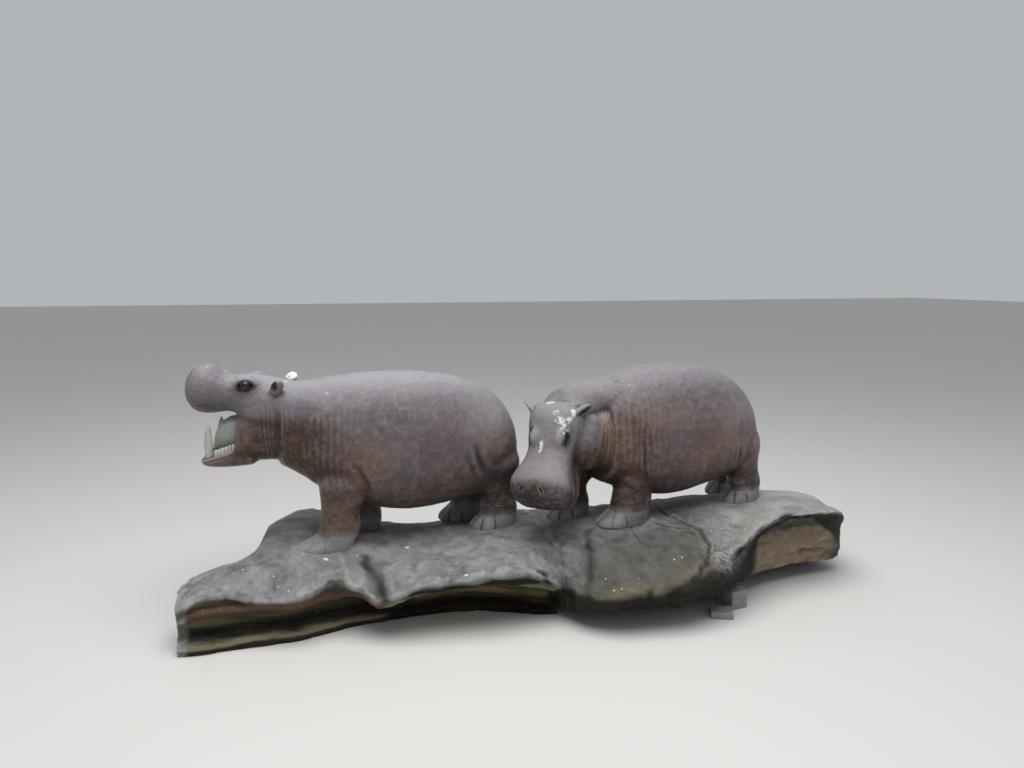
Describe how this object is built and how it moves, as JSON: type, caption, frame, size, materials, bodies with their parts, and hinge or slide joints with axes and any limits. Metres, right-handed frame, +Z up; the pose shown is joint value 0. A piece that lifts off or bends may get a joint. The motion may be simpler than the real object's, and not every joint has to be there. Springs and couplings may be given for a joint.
{
  "type": "painted fibreglass hippopotamus statue group",
  "caption": "Life-size painted fibreglass hippopotamus figure with open mouth, with a companion figure, walking on an artificial rock base.",
  "frame": {"origin": "centre of the bounding box's underside, on the floor under the middle of the rock base", "axes": "+X along the rock towards the rear ends of both figures, so that both face -X; +Y to the back of the rock; +Z up"},
  "size_m": [3.25, 1.163, 1.156],
  "materials": {
    "hippo_a_trunk": "weathered semi-gloss grey-mauve and brown paint on fibreglass",
    "hippo_a_neck": "weathered semi-gloss grey-mauve and brown paint on fibreglass",
    "hippo_a_head": "weathered semi-gloss grey-mauve and brown paint on fibreglass",
    "hippo_a_lower_jaw": "weathered semi-gloss grey-mauve and brown paint on fibreglass",
    "hippo_a_tongue": "weathered pale pinkish grey paint on fibreglass",
    "hippo_a_tusk_left": "dull ivory paint on fibreglass",
    "hippo_a_tusk_right": "dull ivory paint on fibreglass",
    "hippo_a_ear_left": "weathered semi-gloss grey-mauve and brown paint on fibreglass",
    "hippo_a_ear_right": "weathered semi-gloss grey-mauve and brown paint on fibreglass",
    "hippo_a_eye_left": "glossy dark brown-black paint on a moulded eye",
    "hippo_a_eye_right": "glossy dark brown-black paint on a moulded eye",
    "hippo_a_leg_front_left": "weathered semi-gloss grey-mauve and brown paint on fibreglass",
    "hippo_a_leg_front_right": "weathered semi-gloss grey-mauve and brown paint on fibreglass",
    "hippo_a_leg_rear_left": "weathered semi-gloss grey-mauve and brown paint on fibreglass",
    "hippo_a_leg_rear_right": "weathered semi-gloss grey-mauve and brown paint on fibreglass",
    "hippo_a_tail": "weathered semi-gloss grey-mauve and brown paint on fibreglass",
    "hippo_b": "weathered semi-gloss grey-mauve and brown paint on fibreglass",
    "rock_left": "artificial rock of cement render over a shell, weathered grey with algae",
    "rock_right": "artificial rock of cement render over a shell, weathered grey with algae",
    "packing_block_left": "rough concrete packing block",
    "packing_block_right": "rough concrete packing block"
  },
  "bodies": {
    "root": {"hippo_a_trunk": "hippo_a_trunk", "hippo_a_neck": "hippo_a_neck", "hippo_a_head": "hippo_a_head", "hippo_a_lower_jaw": "hippo_a_lower_jaw", "hippo_a_tongue": "hippo_a_tongue", "hippo_a_tusk_left": "hippo_a_tusk_left", "hippo_a_tusk_right": "hippo_a_tusk_right", "hippo_a_ear_left": "hippo_a_ear_left", "hippo_a_ear_right": "hippo_a_ear_right", "hippo_a_eye_left": "hippo_a_eye_left", "hippo_a_eye_right": "hippo_a_eye_right", "hippo_a_leg_front_left": "hippo_a_leg_front_left", "hippo_a_leg_front_right": "hippo_a_leg_front_right", "hippo_a_leg_rear_left": "hippo_a_leg_rear_left", "hippo_a_leg_rear_right": "hippo_a_leg_rear_right", "hippo_a_tail": "hippo_a_tail", "hippo_b": "hippo_b", "rock_left": "rock_left", "rock_right": "rock_right", "packing_block_left": "packing_block_left", "packing_block_right": "packing_block_right"}
  },
  "joints": []
}
